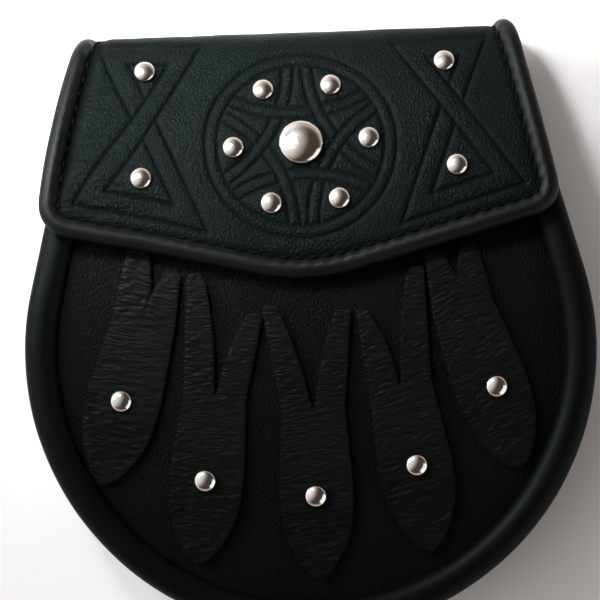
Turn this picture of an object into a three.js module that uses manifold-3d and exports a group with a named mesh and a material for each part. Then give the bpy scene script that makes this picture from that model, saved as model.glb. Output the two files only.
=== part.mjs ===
// A day sporran: a black leather pouch with a studded, tooled flap, lying on its back with the flap closed.
// Millimetres. From the front, +X is to the right, +Y runs to the folded top, and +Z comes out of the front.
// The pouch is drawn about the centre of its round end, then the whole is moved to the middle of its box.

import * as THREE from "three";
import { ParametricGeometry } from "three/addons/geometries/ParametricGeometry.js";
import { mergeGeometries, mergeVertices } from "three/addons/utils/BufferGeometryUtils.js";
import loadManifold from "manifold-3d";

const { clamp, degToRad, lerp, smoothstep } = THREE.MathUtils;
const manifold = await loadManifold();
manifold.setup();

// Driving dimensions of the whole.
const POUCH_WIDTH = 190;
const SIDE_TAPER = degToRad(14.4); // how far each straight side leans in towards the top
const LEATHER = 2; // thickness of the panels, the gusset and the flap
const CLEARANCE = 0.3; // gap left between two pieces

// Depth from back to front. The front is an arc along Y that is highest at the crest.
const CREST_Y = 17;
const UPPER_BEND = 191; // radius of the front from the crest to the fold
const LOWER_BEND = 800; // radius of the front from the crest to the round end
const RIM_CREST = 38.6; // top of the front rim at the crest
const FLAP_CREST = 43.3; // middle of the flap's leather at the crest

// Rolled edges of the pouch: half sizes of their oval sections, and where each one ends at the top.
const FRONT_RIM = { halfWidth: 5.5, halfHeight: 5, topY: 88, sides: 10, steps: 44 };
const BACK_RIM = { halfWidth: 5, halfHeight: 6.2, topY: 86, sides: 10, steps: 44 };
const BACK_RIM_FLAT = 1.2; // how much of the back roll is pressed flat where the pouch lies on it
const RIM_GRIP = 2; // how far a panel reaches into the slot of its rim
const SLOT_SPARE = 1.2; // room past the panel's edge in that slot

// Panels and gusset.
const PANEL_CROWN = 4; // how far the front panel swells in the middle
const BACK_PANEL_Z = 7; // underside of the back panel, above the surface the pouch lies on
const PANEL_TOP_Y = 86;
const PANEL_GRID = { columns: 16, rows: 18, outline: 48 };
const GUSSET_TOP_Y = 80;
const GUSSET_STEPS = 44;

// Flap, cut flat and bent over the top. Lengths along the cut are counted from the crest towards the fold.
const FLAP = {
  foldStart: degToRad(25.2), // slope of the front where the tight fold begins
  foldRadius: 10.3,
  cornerY: 42.6, // lower corners of its outline
  tipY: 21.8, // lowest point of its shallow V
  cornerHalfWidth: 85.8,
  foldHalfWidth: 72.8,
  leftBow: 3.6, // how far the left side of the closed flap spreads past a straight line
  bowStart: 50, // how far from the middle the spread begins, and where it is whole
  bowWhole: 70,
  tabHalfWidth: 58, // the tab sewn to the back panel
  tabLength: 22,
};
const BINDING = { radius: 3.4, cornerRound: 8, tipRound: 16, sides: 8, steps: 80, endAngle: degToRad(150) };
const FLAP_INSET = BINDING.radius + 1.5; // from the outline to the flap's own edge, inside the binding

// Leaves cut from wrinkled leather and riveted to the front panel.
const LEAF = { length: 56.5, halfWidth: 12.3, shoulder: 10.4, thickness: 1.8, lift: 0.45 };
const PRONG_FALL = { outside: 1.5, inside: 2.5 }; // how far each prong's end slopes down on its two sides
// Half of a leaf's body from its tip to its shoulder, as shares of its half width and of its length.
const LEAF_SIDE = [
  { across: 0.36, down: 0.945 },
  { across: 0.72, down: 0.82 },
  { across: 0.95, down: 0.65 },
  { across: 1, down: 0.48 },
  { across: 0.94, down: 0.28 },
];
// A row for each leaf: its notch, its lean to the left, and the end and half width of its two prongs,
// which are measured from the notch with the leaf upright.
const LEAVES = [
  {
    notch: [-54.6, 12.4],
    lean: 17.2,
    left: { x: -8, y: 24, half: 3.4 },
    right: { x: 6.1, y: 18.4, half: 1.7 },
  },
  {
    notch: [-32.5, -13.7],
    lean: 8.5,
    left: { x: -10.1, y: 40, half: 3 },
    right: { x: 10.2, y: 29.3, half: 2.4 },
  },
  {
    notch: [-0.1, -19.9],
    lean: 0.6,
    left: { x: -13, y: 35.6, half: 2.9 },
    right: { x: 10.7, y: 34, half: 2.8 },
  },
  {
    notch: [28.9, -13],
    lean: -8.2,
    left: { x: -7.7, y: 28.4, half: 1.9 },
    right: { x: 12, y: 37.8, half: 3 },
  },
  {
    notch: [50.9, 11.5],
    lean: -17.4,
    left: { x: -3, y: 21.5, half: 2.9 },
    right: { x: 8.4, y: 20, half: 3.2 },
  },
];

// Domed rivets, and the larger cap of the press stud that closes the flap.
const RIVET = { radius: 3.7, height: 2.5, skirt: 0.6, sides: 12, rings: 3 };
const SNAP_CAP = { radius: 7.6, height: 4, skirt: 0.8, sides: 24, rings: 5 };
const SNAP_POST = { radius: 5, sides: 16 };
const RING = { y: 68, radius: 22.5, count: 6, turn: degToRad(1.5) }; // six rivets round the cap
const CORNER_RIVETS = [
  { name: "rivet_corner_1", x: -50.8, y: 94 },
  { name: "rivet_corner_2", x: -53.2, y: 58.9 },
  { name: "rivet_corner_3", x: 48.9, y: 93.2 },
  { name: "rivet_corner_4", x: 51.2, y: 58.5 },
];
const LEAF_RIVETS = [
  { name: "rivet_leaf_1", x: -63.6, y: -13.9 },
  { name: "rivet_leaf_2", x: -37.1, y: -41.6 },
  { name: "rivet_leaf_3", x: -0.7, y: -48.4 },
  { name: "rivet_leaf_4", x: 33.2, y: -39.7 },
  { name: "rivet_leaf_5", x: 60.9, y: -14.9 },
];

// Plain loops on the back to hang the pouch by.
const LOOP = {
  x: 44,
  bottomY: -2,
  topY: 58,
  width: 20,
  thickness: 1.8,
  endLength: 11, // of each end, sewn flat to the back panel
  rampLength: 5,
  floorGap: 0.4,
};

// Sizes worked out from those above.
const ROUND_RADIUS = POUCH_WIDTH / 2;
const RIM_PROUD = FRONT_RIM.halfHeight; // how far the front rim stands above the edge of its panel
const FRONT_PANEL_INSET = 2 * FRONT_RIM.halfWidth - RIM_GRIP;
const BACK_PANEL_INSET = 2 * BACK_RIM.halfWidth - RIM_GRIP;
const BACK_RIM_MIDDLE = BACK_RIM.halfHeight - BACK_RIM_FLAT;
const FOLD_LENGTH = UPPER_BEND * FLAP.foldStart; // from the crest to the start of the fold
const FOLD_END = FOLD_LENGTH + FLAP.foldRadius * (Math.PI - FLAP.foldStart);
const FRONT_BEND_Z = FLAP_CREST - UPPER_BEND; // centre of the flap's long bend
const FOLD_CENTRE_Y = CREST_Y + (UPPER_BEND - FLAP.foldRadius) * Math.sin(FLAP.foldStart);
const FOLD_CENTRE_Z = FRONT_BEND_Z + (UPPER_BEND - FLAP.foldRadius) * Math.cos(FLAP.foldStart);
const BINDING_END = FOLD_LENGTH + FLAP.foldRadius * (BINDING.endAngle - FLAP.foldStart);
const FOLD_TOP_LENGTH = FOLD_LENGTH + FLAP.foldRadius * (Math.PI / 2 - FLAP.foldStart);
const BOX_TOP = FOLD_CENTRE_Y + FLAP.foldRadius + BINDING.radius;
const BOX_BOTTOM = -ROUND_RADIUS;

const leather = new THREE.MeshStandardMaterial({ color: 0x1a1c1c, roughness: 0.6, metalness: 0 });
const rolledLeather = new THREE.MeshStandardMaterial({ color: 0x1c1d1e, roughness: 0.42, metalness: 0 });
const wrinkledLeather = new THREE.MeshStandardMaterial({ color: 0x161817, roughness: 0.55, metalness: 0 });
const nickel = new THREE.MeshStandardMaterial({ color: 0xd8d2cc, roughness: 0.18, metalness: 1 });

// Joins open pieces of surface into one closed skin.
function weld(surfaces) {
  const bare = surfaces.map((surface) => {
    const copy = surface.index ? surface.toNonIndexed() : surface.clone();
    copy.deleteAttribute("normal");
    copy.deleteAttribute("uv");
    return copy;
  });
  const skin = mergeVertices(mergeGeometries(bare), 1e-3);
  skin.computeVertexNormals();
  return skin;
}

// A curved slab: place(u, v, w, target) carries the unit cube into space, and each of its sides is a grid.
function curvedSlab(place, uSteps, vSteps) {
  return weld([
    new ParametricGeometry((u, v, p) => place(u, v, 1, p), uSteps, vSteps),
    new ParametricGeometry((u, v, p) => place(1 - u, v, 0, p), uSteps, vSteps),
    new ParametricGeometry((v, w, p) => place(1, v, w, p), vSteps, 1),
    new ParametricGeometry((v, w, p) => place(0, 1 - v, w, p), vSteps, 1),
    new ParametricGeometry((u, w, p) => place(1 - u, 1, w, p), uSteps, 1),
    new ParametricGeometry((u, w, p) => place(u, 0, w, p), uSteps, 1),
  ]);
}

// A closed section carried along a flat path that runs from the right end round to the left end.
// lay(x, y, height, target) then puts the flat result in space.
function sweep(section, path, steps, lay) {
  const points = path.getSpacedPoints(steps);
  const place = (out, height, step, target) => {
    const before = points[Math.max(step - 1, 0)];
    const after = points[Math.min(step + 1, steps)];
    const along = after.clone().sub(before).normalize();
    return lay(points[step].x - out * along.y, points[step].y + out * along.x, height, target);
  };
  const skin = new ParametricGeometry(
    (u, v, p) => {
      const corner = section[Math.round(u * section.length) % section.length];
      place(corner.x, corner.y, Math.round(v * steps), p);
    },
    section.length,
    steps,
  );
  const cap = (step, flip) => {
    const face = new THREE.ShapeGeometry(new THREE.Shape(section));
    const position = face.getAttribute("position");
    const p = new THREE.Vector3();
    for (let i = 0; i < position.count; i++) {
      place(position.getX(i), position.getY(i), step, p);
      position.setXYZ(i, p.x, p.y, p.z);
    }
    if (flip) face.index.array.reverse();
    return face;
  };
  return weld([skin, cap(0, true), cap(steps, false)]);
}

// An oval roll of leather with a slot on its inner side that takes the edge of a sheet.
function slottedRoll({ halfWidth, halfHeight, sides }, slotLow, slotHigh, slotEnd, floor = -halfHeight) {
  const section = [];
  const first = Math.PI - Math.asin(slotLow / halfHeight);
  const last = 3 * Math.PI - Math.asin(slotHigh / halfHeight);
  for (let i = 0; i <= sides; i++) {
    const angle = first + ((last - first) * i) / sides;
    const height = Math.max(halfHeight * Math.sin(angle), floor);
    section.push(new THREE.Vector2(halfWidth * Math.cos(angle), height));
  }
  section.push(new THREE.Vector2(slotEnd, slotHigh), new THREE.Vector2(slotEnd, slotLow));
  return section;
}

// The front's fall from its crest, along Y.
function fall(y) {
  const bend = y > CREST_Y ? UPPER_BEND : LOWER_BEND;
  return bend - Math.sqrt(bend ** 2 - (y - CREST_Y) ** 2);
}

function rimMiddle(y) {
  return RIM_CREST - FRONT_RIM.halfHeight - fall(y);
}

// Half the width of the pouch's outline at a height, drawn in by an inset.
function halfWidthAt(y, inset) {
  const radius = ROUND_RADIUS - inset;
  const tangentY = radius * Math.sin(SIDE_TAPER);
  if (y > tangentY) return (radius - y * Math.sin(SIDE_TAPER)) / Math.cos(SIDE_TAPER);
  return Math.sqrt(Math.max(radius ** 2 - y ** 2, 0));
}

// The outline from the right end, down round the bottom, and up to the left end.
function outlinePath(inset, topY) {
  const radius = ROUND_RADIUS - inset;
  const path = new THREE.Path();
  path.moveTo(halfWidthAt(topY, inset), topY);
  path.lineTo(radius * Math.cos(SIDE_TAPER), radius * Math.sin(SIDE_TAPER));
  path.absarc(0, 0, radius, SIDE_TAPER, Math.PI - SIDE_TAPER, true);
  path.lineTo(-halfWidthAt(topY, inset), topY);
  return path;
}

// How far a point lies from the middle of the front panel towards its edge, from 0 to 1.
function edgeShare(x, y) {
  const radius = ROUND_RADIUS - FRONT_PANEL_INSET;
  if (y < 0) return Math.min(Math.hypot(x, y) / radius, 1);
  return Math.min(Math.abs(x) / halfWidthAt(y, FRONT_PANEL_INSET), 1);
}

function frontPanelTop(x, y) {
  return RIM_CREST - fall(y) - RIM_PROUD + PANEL_CROWN * (1 - edgeShare(x, y) ** 2);
}

// A sheet over the whole front, in rows from the round end up to the mouth, with its underside at a lift
// over the panel's outer face.
function frontSheet(lift, thickness) {
  const radius = ROUND_RADIUS - FRONT_PANEL_INSET;
  const lowestAngle = degToRad(-86);
  const roundShare = 0.62; // the share of the rows that lies in the round end
  const rowY = (v) => {
    if (v < roundShare) return radius * Math.sin(lowestAngle * (1 - v / roundShare));
    return (PANEL_TOP_Y * (v - roundShare)) / (1 - roundShare);
  };
  const place = (u, v, w, target) => {
    const y = rowY(v);
    const x = (2 * u - 1) * halfWidthAt(y, FRONT_PANEL_INSET);
    return target.set(x, y, frontPanelTop(x, y) + lift + thickness * w);
  };
  return curvedSlab(place, PANEL_GRID.columns, PANEL_GRID.rows);
}

function backPanel() {
  const outline = outlinePath(BACK_PANEL_INSET, PANEL_TOP_Y);
  const shape = new THREE.Shape(outline.getSpacedPoints(PANEL_GRID.outline));
  const panel = new THREE.ExtrudeGeometry(shape, { depth: LEATHER, bevelEnabled: false });
  panel.translate(0, 0, BACK_PANEL_Z);
  return weld([panel]);
}

function frontRim() {
  const slotLow = -LEATHER - CLEARANCE;
  const slotEnd = RIM_GRIP + SLOT_SPARE - FRONT_RIM.halfWidth;
  const section = slottedRoll(FRONT_RIM, slotLow, CLEARANCE, slotEnd);
  const path = outlinePath(FRONT_RIM.halfWidth, FRONT_RIM.topY);
  return sweep(section, path, FRONT_RIM.steps, (x, y, h, target) => target.set(x, y, rimMiddle(y) + h));
}

// The back rim is pressed flat along the line where the pouch lies on it.
function backRim() {
  const slotLow = BACK_PANEL_Z - BACK_RIM_MIDDLE - CLEARANCE;
  const slotHigh = BACK_PANEL_Z - BACK_RIM_MIDDLE + LEATHER + CLEARANCE;
  const slotEnd = RIM_GRIP + SLOT_SPARE - BACK_RIM.halfWidth;
  const section = slottedRoll(BACK_RIM, slotLow, slotHigh, slotEnd, -BACK_RIM_MIDDLE);
  const path = outlinePath(BACK_RIM.halfWidth, BACK_RIM.topY);
  return sweep(section, path, BACK_RIM.steps, (x, y, h, target) => target.set(x, y, BACK_RIM_MIDDLE + h));
}

// The side wall that joins the two rims, from one side of the mouth round to the other.
function gusset() {
  const inset = FRONT_RIM.halfWidth;
  const outer = outlinePath(inset - LEATHER / 2, GUSSET_TOP_Y).getSpacedPoints(GUSSET_STEPS);
  const inner = outlinePath(inset + LEATHER / 2, GUSSET_TOP_Y).getSpacedPoints(GUSSET_STEPS);
  const bottom = BACK_RIM_MIDDLE + BACK_RIM.halfHeight + CLEARANCE;
  const place = (u, v, w, target) => {
    const step = Math.round(u * GUSSET_STEPS);
    const point = (w ? outer : inner)[step];
    const top = rimMiddle(outer[step].y) - FRONT_RIM.halfHeight - CLEARANCE;
    return target.set(point.x, point.y, lerp(bottom, top, 1 - v));
  };
  return curvedSlab(place, GUSSET_STEPS, 1);
}

// The hand-cut flap isn't quite even: its left side spreads in a shallow bow between the fold and the tip.
function spreadFlap(x, length) {
  const along = Math.sin(Math.PI * clamp(length / FOLD_TOP_LENGTH, 0, 1));
  return x - FLAP.leftBow * along * smoothstep(-x, FLAP.bowStart, FLAP.bowWhole);
}

// Carries a point of the flat cut flap, at a height over the middle of its leather, to where it lies.
function bendFlap(cutX, length, height, target) {
  const x = spreadFlap(cutX, length);
  if (length <= FOLD_LENGTH) {
    const angle = length / UPPER_BEND;
    const radius = UPPER_BEND + height;
    return target.set(x, CREST_Y + radius * Math.sin(angle), FRONT_BEND_Z + radius * Math.cos(angle));
  }
  const radius = FLAP.foldRadius + height;
  if (length >= FOLD_END) return target.set(x, FOLD_CENTRE_Y - (length - FOLD_END), FOLD_CENTRE_Z - radius);
  const angle = FLAP.foldStart + (length - FOLD_LENGTH) / FLAP.foldRadius;
  return target.set(x, FOLD_CENTRE_Y + radius * Math.sin(angle), FOLD_CENTRE_Z + radius * Math.cos(angle));
}

// The length along the cut at which the front of the flap stands at a given Y.
function cutLength(y) {
  return UPPER_BEND * Math.asin((y - CREST_Y) / UPPER_BEND);
}

const TIP_LENGTH = cutLength(FLAP.tipY);
const CORNER_LENGTH = cutLength(FLAP.cornerY);

function flapHalfWidth(length) {
  const share = (length - CORNER_LENGTH) / (FOLD_TOP_LENGTH - CORNER_LENGTH);
  return lerp(FLAP.cornerHalfWidth, FLAP.foldHalfWidth, clamp(share, 0, 1));
}

// The flap's leather: from the tab on the back, over the fold, to the V of its lower edge.
function flap() {
  const columns = 18;
  const rows = { tab: 3, fold: 10, front: 13 };
  const total = rows.tab + rows.fold + rows.front;
  const tabEnd = FOLD_END + FLAP.tabLength;
  const rise = CORNER_LENGTH - TIP_LENGTH;
  const blunt = BINDING.tipRound / FLAP.cornerHalfWidth; // share of the half width that the blunt V takes
  const vee = (share) => (share < blunt ? (share ** 2 + blunt ** 2) / (2 * blunt) : share);
  const place = (u, v, w, target) => {
    const row = (1 - v) * total;
    const across = 2 * u - 1;
    const edge = TIP_LENGTH + rise * vee(Math.abs(across)) + FLAP_INSET;
    let length = tabEnd;
    if (row <= rows.tab) length = lerp(tabEnd, FOLD_END, row / rows.tab);
    else if (row <= rows.tab + rows.fold)
      length = lerp(FOLD_END, FOLD_LENGTH, (row - rows.tab) / rows.fold);
    else length = lerp(FOLD_LENGTH, edge, (row - rows.tab - rows.fold) / rows.front);
    const narrowing = smoothstep(length, BINDING_END, FOLD_END);
    const half = lerp(flapHalfWidth(length) - FLAP_INSET, FLAP.tabHalfWidth, narrowing);
    return bendFlap(across * half, length, LEATHER * (w - 0.5), target);
  };
  return curvedSlab(place, columns, total);
}

// The rolled binding round the flap's sides and lower edge, with its two ends carried over the fold.
function flapBinding() {
  const inset = BINDING.radius;
  const corner = new THREE.Vector2(FLAP.cornerHalfWidth - inset, CORNER_LENGTH + inset);
  const tip = new THREE.Vector2(0, TIP_LENGTH + inset);
  const end = new THREE.Vector2(FLAP.foldHalfWidth - inset, BINDING_END);
  const foldTop = new THREE.Vector2(FLAP.foldHalfWidth - inset, FOLD_TOP_LENGTH);
  const towards = (from, to, distance) => from.clone().add(to.clone().sub(from).setLength(distance));
  const sideStop = towards(corner, foldTop, BINDING.cornerRound);
  const edgeStop = towards(corner, tip, BINDING.cornerRound);
  const tipStop = towards(tip, corner, BINDING.tipRound);
  const path = new THREE.Path();
  path.moveTo(end.x, end.y);
  path.lineTo(foldTop.x, foldTop.y);
  path.lineTo(sideStop.x, sideStop.y);
  path.quadraticCurveTo(corner.x, corner.y, edgeStop.x, edgeStop.y);
  path.lineTo(tipStop.x, tipStop.y);
  path.quadraticCurveTo(tip.x, tip.y, -tipStop.x, tipStop.y);
  path.lineTo(-edgeStop.x, edgeStop.y);
  path.quadraticCurveTo(-corner.x, corner.y, -sideStop.x, sideStop.y);
  path.lineTo(-foldTop.x, foldTop.y);
  path.lineTo(-end.x, end.y);
  const roll = { halfWidth: BINDING.radius, halfHeight: BINDING.radius, sides: BINDING.sides };
  const slot = LEATHER / 2 + CLEARANCE;
  const section = slottedRoll(roll, -slot, slot, SLOT_SPARE / 2);
  return sweep(section, path, BINDING.steps, bendFlap);
}

function toSolid(geometry) {
  const merged = mergeVertices(geometry, 1e-3);
  const vertProperties = new Float32Array(merged.getAttribute("position").array);
  const triVerts = new Uint32Array(merged.index.array);
  return new manifold.Manifold(new manifold.Mesh({ numProp: 3, vertProperties, triVerts }));
}

function toGeometry(solid) {
  const { vertProperties, triVerts } = solid.getMesh();
  const geometry = new THREE.BufferGeometry();
  geometry.setAttribute("position", new THREE.BufferAttribute(vertProperties, 3));
  geometry.setIndex(new THREE.BufferAttribute(triVerts, 1));
  return geometry;
}

// A leaf drawn upright about its notch: a pointed body below and two prongs above.
function leafShape({ left, right }) {
  const at = (x, y) => new THREE.Vector2(x, y);
  const side = (sign) =>
    LEAF_SIDE.map(({ across, down }) => at(sign * across * LEAF.halfWidth, -down * LEAF.length));
  const prong = ({ x, y, half }, sign) => {
    const outside = at(x + sign * half, y - PRONG_FALL.outside);
    const inside = at(x - sign * half, y - PRONG_FALL.inside);
    return [outside, at(x, y), inside];
  };
  const tip = at(0, -LEAF.length);
  const prongs = [...prong(right, 1), at(0, 0), ...prong(left, -1).reverse(), at(-LEAF.shoulder, 0)];
  const shape = new THREE.Shape();
  shape.moveTo(tip.x, tip.y);
  shape.splineThru([...side(1), at(LEAF.shoulder, 0)]);
  for (const { x, y } of prongs) shape.lineTo(x, y);
  shape.splineThru([...side(-1).reverse(), tip]);
  return shape;
}

// The leaf turned to its lean and cut out of the sheet of wrinkled leather that lies on the front panel.
function leaf(row, sheet) {
  const cutter = new THREE.ExtrudeGeometry(leafShape(row), {
    depth: RIM_CREST + PANEL_CROWN,
    bevelEnabled: false,
    curveSegments: 2,
  });
  cutter.rotateZ(-degToRad(row.lean));
  cutter.translate(...row.notch, 0);
  const cut = toGeometry(sheet.intersect(toSolid(weld([cutter]))));
  cut.computeVertexNormals();
  return cut;
}

// A dome over a short upright skirt, turned about Z and standing on its own flat base.
function dome({ radius, height, skirt, sides, rings }) {
  const profile = [new THREE.Vector2(0, 0), new THREE.Vector2(radius, 0)];
  for (let i = 0; i <= rings; i++) {
    const angle = ((Math.PI / 2) * i) / rings;
    const across = i === rings ? 0 : radius * Math.cos(angle);
    profile.push(new THREE.Vector2(across, skirt + (height - skirt) * Math.sin(angle)));
  }
  const turned = new THREE.LatheGeometry(profile, sides);
  turned.rotateX(Math.PI / 2);
  return weld([turned]);
}

function mesh(name, geometry, material) {
  const made = new THREE.Mesh(geometry, material);
  made.name = name;
  return made;
}

// Stands a piece on the outside of the flap, square to its leather.
function onFlap(made, x, length, height) {
  bendFlap(x, length, height, made.position);
  made.rotation.x = -length / UPPER_BEND;
  return made;
}

// Stands a piece on a leaf, square to the front panel there.
function onLeaf(made, x, y) {
  const step = 0.5;
  const slopeX = (frontPanelTop(x + step, y) - frontPanelTop(x - step, y)) / (2 * step);
  const slopeY = (frontPanelTop(x, y + step) - frontPanelTop(x, y - step)) / (2 * step);
  const seat = frontPanelTop(x, y) + LEAF.lift + LEAF.thickness + CLEARANCE;
  made.position.set(x, y, seat);
  const normal = new THREE.Vector3(-slopeX, -slopeY, 1).normalize();
  made.quaternion.setFromUnitVectors(new THREE.Vector3(0, 0, 1), normal);
  return made;
}

function rivets() {
  const made = [];
  const onOutside = LEATHER / 2 + CLEARANCE;
  const ringLength = cutLength(RING.y);
  for (let i = 0; i < RING.count; i++) {
    const angle = RING.turn + (2 * Math.PI * i) / RING.count;
    const rivet = mesh(`rivet_ring_${i + 1}`, dome(RIVET), nickel);
    const x = RING.radius * Math.cos(angle);
    made.push(onFlap(rivet, x, ringLength + RING.radius * Math.sin(angle), onOutside));
  }
  for (const { name, x, y } of CORNER_RIVETS) {
    made.push(onFlap(mesh(name, dome(RIVET), nickel), x, cutLength(y), onOutside));
  }
  for (const { name, x, y } of LEAF_RIVETS) made.push(onLeaf(mesh(name, dome(RIVET), nickel), x, y));
  return made;
}

// The press stud: a domed cap on the flap, and under it one plain post that stands on the front panel.
function pressStud() {
  const length = cutLength(RING.y);
  const cap = onFlap(mesh("snap_cap", dome(SNAP_CAP), nickel), 0, length, LEATHER / 2 + CLEARANCE);
  const room = FLAP_CREST - LEATHER / 2 - (RIM_CREST - RIM_PROUD + PANEL_CROWN);
  const height = room - 3 * CLEARANCE; // a gap at each end and one to spare on the slope
  const barrel = new THREE.CylinderGeometry(SNAP_POST.radius, SNAP_POST.radius, height, SNAP_POST.sides);
  barrel.rotateX(Math.PI / 2);
  const post = mesh("snap_post", weld([barrel]), nickel);
  onFlap(post, 0, length, -LEATHER / 2 - CLEARANCE - height / 2);
  return [cap, post];
}

// A loop of leather: its two ends lie flat on the back panel and its middle stands off it.
function beltLoop(name, x) {
  const seat = BACK_PANEL_Z - CLEARANCE;
  const drop = seat - LOOP.thickness - LOOP.floorGap;
  const rampOut = LOOP.endLength + LOOP.rampLength;
  const length = LOOP.topY - LOOP.bottomY;
  const outer = [
    [0, 0],
    [LOOP.endLength, 0],
    [rampOut, -drop],
    [length - rampOut, -drop],
    [length - LOOP.endLength, 0],
    [length, 0],
  ];
  const profile = new THREE.Shape();
  outer.forEach(([along, rise], i) => {
    const point = [along + LOOP.bottomY, seat + rise - LOOP.thickness];
    if (i) profile.lineTo(...point);
    else profile.moveTo(...point);
  });
  for (const [along, rise] of outer.reverse()) profile.lineTo(along + LOOP.bottomY, seat + rise);
  const loop = new THREE.ExtrudeGeometry(profile, { depth: LOOP.width, bevelEnabled: false });
  loop.rotateZ(Math.PI / 2);
  loop.rotateY(Math.PI / 2);
  loop.translate(-LOOP.width / 2, 0, 0);
  const made = mesh(name, weld([loop]), leather);
  made.position.x = x;
  return made;
}

const leafLeather = toSolid(frontSheet(LEAF.lift, LEAF.thickness));
const sporran = new THREE.Group();
sporran.add(
  mesh("front_panel", frontSheet(-LEATHER, LEATHER), leather),
  mesh("back_panel", backPanel(), leather),
  mesh("gusset", gusset(), leather),
  mesh("front_rim", frontRim(), rolledLeather),
  mesh("back_rim", backRim(), rolledLeather),
  mesh("flap", flap(), leather),
  mesh("flap_binding", flapBinding(), rolledLeather),
  ...LEAVES.map((row, i) => mesh(`leaf_${i + 1}`, leaf(row, leafLeather), wrinkledLeather)),
  ...rivets(),
  ...pressStud(),
  beltLoop("belt_loop_left", -LOOP.x),
  beltLoop("belt_loop_right", LOOP.x),
);
sporran.position.y = -(BOX_TOP + BOX_BOTTOM) / 2;

const part = new THREE.Group();
part.add(sporran);

export default part;
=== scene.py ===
import bpy
import bmesh
import math
import numpy as np
from mathutils import Matrix, Vector, noise


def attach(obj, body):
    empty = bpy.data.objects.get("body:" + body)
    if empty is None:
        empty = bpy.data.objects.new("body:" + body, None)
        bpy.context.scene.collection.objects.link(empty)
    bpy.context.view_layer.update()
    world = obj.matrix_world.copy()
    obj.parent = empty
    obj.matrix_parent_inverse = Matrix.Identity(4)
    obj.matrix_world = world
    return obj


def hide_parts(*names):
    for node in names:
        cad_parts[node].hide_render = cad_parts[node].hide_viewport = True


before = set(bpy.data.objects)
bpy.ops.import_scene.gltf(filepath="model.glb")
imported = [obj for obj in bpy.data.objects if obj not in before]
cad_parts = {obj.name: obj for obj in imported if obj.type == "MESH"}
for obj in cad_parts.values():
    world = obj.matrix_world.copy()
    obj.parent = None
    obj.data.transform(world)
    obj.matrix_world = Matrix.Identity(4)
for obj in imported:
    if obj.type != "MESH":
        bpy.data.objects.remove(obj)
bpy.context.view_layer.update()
print("frame loaded:", len(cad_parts), "solid pieces")

# everything is drawn in millimetres about the middle of the round end, then moved into the frame
millimetre = 0.001
mergeGap = 1e-4  # points closer than this, in millimetres, become one
seedSpread = 1.7  # each seed reads its own layer of the noise
pouch = {
    "round": 95.0,  # radius of the round end
    "taper": math.radians(14.4),  # lean of the straight sides
    "crest": 17.0,  # where the front is highest
    "upperBend": 191.0,  # radius of the front's curve above the crest
    "lowerBend": 800.0,  # and below it
    "rimCrest": 38.6,  # top of the front rim at the crest
    "flapCrest": 43.3,  # middle of the flap's leather there
    "wall": 2.0,
    "drop": 6.319,  # from the middle of the round to the middle of the box
}


def fall(y):
    bend = np.where(y > pouch["crest"], pouch["upperBend"], pouch["lowerBend"])
    return bend - np.sqrt(bend**2 - (y - pouch["crest"]) ** 2)


def halfWidthAt(y, inset):
    radius = pouch["round"] - inset
    lean = pouch["taper"]
    side = (radius - y * math.sin(lean)) / math.cos(lean)
    curve = np.sqrt(np.maximum(radius**2 - y**2, 0.0))
    return np.where(y > radius * math.sin(lean), side, curve)


def smoothStep(value, low, high):
    t = np.clip((value - low) / (high - low), 0.0, 1.0)
    return t * t * (3 - 2 * t)


def bell(distance, width):
    return np.exp(-((distance / width) ** 2))


# soft noise over a surface: how fast it changes each way, its seed and its depth
def wobble(points, scale, seed, depth=1.0):
    spots = [Vector((x * scale[0] + seed, y * scale[1], seed * seedSpread)) for x, y in points]
    return np.array([noise.noise(spot) for spot in spots]) * depth


# a fine grid carried into shape: place takes shares across and along, and gives points in millimetres
def moldedGrid(columns, rows, place):
    bm = bmesh.new()
    bmesh.ops.create_grid(bm, x_segments=columns, y_segments=rows, size=1)
    share = np.array([vert.co[:2] for vert in bm.verts]) * 0.5 + 0.5
    for vert, point in zip(bm.verts, place(share[:, 0], share[:, 1])):
        vert.co = point
    return bm


# adds a copy of one sheet to another
def joinSheet(bm, other):
    mesh = bpy.data.meshes.new("joined")
    other.to_mesh(mesh)
    other.free()
    bm.from_mesh(mesh)
    bpy.data.meshes.remove(mesh)
    bm.verts.ensure_lookup_table()
    bm.verts.index_update()


# keeps where each point was on the flat cut leather
def cutMap(bm, flat):
    uv = bm.loops.layers.uv.new("cut")
    for face in bm.faces:
        for loop in face.loops:
            loop[uv].uv = flat[loop.vert.index] * millimetre


def shipPiece(bm, name, material, nodes, thickness=0.0):
    bmesh.ops.scale(bm, vec=(millimetre, millimetre, millimetre), verts=bm.verts)
    bmesh.ops.translate(bm, vec=(0, -pouch["drop"] * millimetre, 0), verts=bm.verts)
    for face in bm.faces:
        face.smooth = True
    for edge in bm.edges:
        edge.smooth = not edge.is_boundary  # cut edges stay crisp
    mesh = bpy.data.meshes.new(name)
    bm.to_mesh(mesh)
    bm.free()
    piece = bpy.data.objects.new(name, mesh)
    bpy.context.scene.collection.objects.link(piece)
    mesh.materials.append(material)
    if thickness:
        wall = piece.modifiers.new("wall", "SOLIDIFY")
        wall.thickness = thickness * millimetre
        wall.offset = -1.0
        wall.use_even_offset = False
    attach(piece, "root")
    if nodes:
        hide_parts(*nodes)
    return piece


def newGroup(name, inputs, outputs):
    group = bpy.data.node_groups.new(name, "ShaderNodeTree")
    for label, kind, value in inputs:
        socket = group.interface.new_socket(label, in_out="INPUT", socket_type=kind)
        if value is not None:
            socket.default_value = value
    for label, kind in outputs:
        group.interface.new_socket(label, in_out="OUTPUT", socket_type=kind)
    return group, group.nodes.new("NodeGroupInput"), group.nodes.new("NodeGroupOutput")


def newMaterial(name):
    material = bpy.data.materials.new(name)
    material.use_nodes = True
    return material, material.node_tree, material.node_tree.nodes["Principled BSDF"]


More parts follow.
